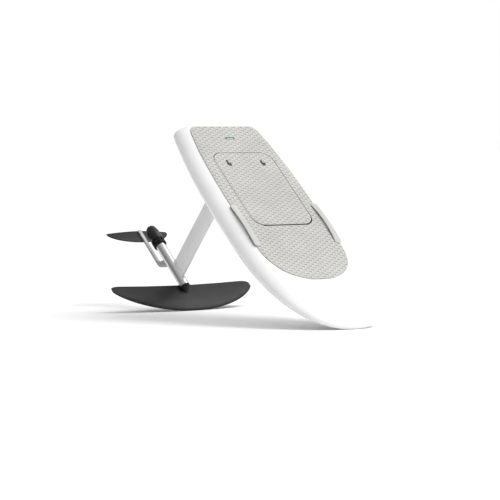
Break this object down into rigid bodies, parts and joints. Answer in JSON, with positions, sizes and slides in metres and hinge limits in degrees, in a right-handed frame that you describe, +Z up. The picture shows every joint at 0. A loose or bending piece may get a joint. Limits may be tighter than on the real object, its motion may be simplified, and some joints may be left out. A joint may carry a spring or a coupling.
{
  "type": "electric hydrofoil board",
  "caption": "Electric hydrofoil board: padded hull with hinged battery hatch, mast, motor pod with water jet, front wing and stabiliser, standing on its nose and front wing.",
  "frame": {"origin": "on the floor under the middle of the bounding box, with the board standing on its nose and on its front wing", "axes": "+Z up, +X level and towards the nose, +Y to port"},
  "size_m": [2.2132, 1.0192, 1.1186],
  "materials": {
    "gelcoat": "gloss white gelcoat over a moulded shell",
    "ply": "marine plywood",
    "foam": "closed-cell foam",
    "well": "moulded, fine grain",
    "lid": "moulded panel",
    "eva": "embossed closed-cell foam sheet",
    "seal": "soft black",
    "handle_core": "glass-filled moulding",
    "hinge_black": "black oxide",
    "stainless": "satin",
    "latch_black": "semi-gloss",
    "latch_metal": "satin chrome",
    "lens": "teal lit lens",
    "circuit": "circuit board",
    "battery": "moulded, ribbed",
    "webbing": "woven strap",
    "cable": "orange sheath",
    "mast_alloy": "light grey satin anodised",
    "pod_alloy": "silver anodised, turned",
    "motor": "laminations and windings",
    "jet_black": "gloss black",
    "intake_black": "matte black",
    "carbon": "satin black composite"
  },
  "bodies": {
    "board": {"battery_case": "battery", "battery_cover": "battery", "battery_handle": "webbing", "battery_plug": "battery", "battery_well": "well", "bearing_carriers": "pod_alloy", "bearings": "stainless", "controller_box": "pod_alloy", "controller_heatsink": "pod_alloy", "deck_pad": "eva", "display_bezel": "latch_black", "display_board": "circuit", "display_lens": "lens", "foam_blocks": "foam", "foot_bolts": "stainless", "front_wing": "carbon", "handle_grip_port": "eva", "handle_grip_starboard": "eva", "handle_port": "handle_core", "handle_screws": "stainless", "handle_starboard": "handle_core", "hatch_seal": "seal", "hinge_leaves_deck": "hinge_black", "hinge_pins": "hinge_black", "hull_bottom_shell": "gelcoat", "hull_deck_shell": "gelcoat", "hull_stringers": "ply", "intake_ring": "intake_black", "jet_housing": "jet_black", "latch_strikers": "well", "mast": "mast_alloy", "mast_bolts": "stainless", "mast_box": "well", "mast_foot": "mast_alloy", "mast_gasket": "seal", "mast_head": "mast_alloy", "motor_stator": "motor", "phase_cables": "cable", "pod_tube": "pod_alloy", "power_leads": "cable", "shaft_seal": "seal", "stabiliser": "carbon", "stabiliser_bolts": "stainless", "stator_vanes": "jet_black", "tail_boom": "pod_alloy", "wing_bolts": "stainless", "wing_connector": "carbon"},
    "hatch": {"hatch_lid": "lid", "lid_pad": "eva", "hinge_leaves_lid": "hinge_black", "latch_bezels": "latch_black"},
    "latch_port": {"latch_rotor_port": "latch_metal"},
    "latch_starboard": {"latch_rotor_starboard": "latch_metal"},
    "pull_port": {"latch_pull_port": "latch_metal"},
    "pull_starboard": {"latch_pull_starboard": "latch_metal"},
    "drive": {"drive_shaft": "stainless", "motor_rotor": "motor", "impeller": "jet_black", "impeller_nut": "stainless"}
  },
  "joints": [
    {"name": "hatch_hinge", "type": "hinge", "parent": "board", "child": "hatch", "pos_m": [0.46266, 0, 0.5539], "axis": [0, 1, 0], "range_deg": [0, 100]},
    {"name": "latch_turn_port", "type": "hinge", "parent": "hatch", "child": "latch_port", "pos_m": [0.06251, 0.123, 0.90068], "axis": [-0.6606, 0, -0.7507], "range_deg": [0, 90]},
    {"name": "latch_turn_starboard", "type": "hinge", "parent": "hatch", "child": "latch_starboard", "pos_m": [0.06251, -0.123, 0.90068], "axis": [0.6606, 0, 0.7507], "range_deg": [0, 90]},
    {"name": "latch_lift_port", "type": "hinge", "parent": "latch_port", "child": "pull_port", "pos_m": [0.07247, 0.123, 0.90444], "axis": [0, 1, 0], "range_deg": [0, 85]},
    {"name": "latch_lift_starboard", "type": "hinge", "parent": "latch_starboard", "child": "pull_starboard", "pos_m": [0.07247, -0.123, 0.90444], "axis": [0, 1, 0], "range_deg": [0, 85]},
    {"name": "drive_spin", "type": "hinge", "parent": "board", "child": "drive", "pos_m": [-0.65172, 0, 0.21844], "axis": [0.7507, 0, -0.6606], "continuous": true}
  ]
}
